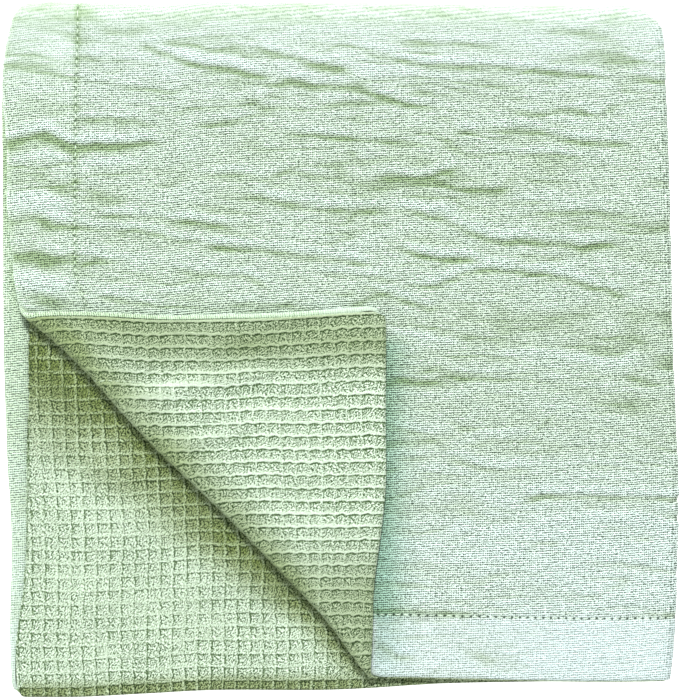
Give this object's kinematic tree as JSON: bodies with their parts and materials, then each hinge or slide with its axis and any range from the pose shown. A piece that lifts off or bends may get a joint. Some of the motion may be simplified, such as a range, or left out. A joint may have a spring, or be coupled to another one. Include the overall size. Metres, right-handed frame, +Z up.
{
  "type": "folded baby blanket",
  "caption": "Square cotton baby blanket, crinkled muslin on one face and waffle weave on the other, folded in four with one corner turned back.",
  "frame": {"origin": "centre of the bounding box at the underside of the folded blanket", "axes": "+Z up through the plies, +Y towards the top fold, +X towards the right fold, seen from above"},
  "size_m": [0.3716, 0.3824, 0.0237],
  "materials": {
    "muslin": "matte, crinkled double gauze",
    "waffle": "matte, soft waffle weave"
  },
  "bodies": {
    "root": {"muslin_panel": "muslin", "waffle_panel": "waffle"}
  },
  "joints": []
}
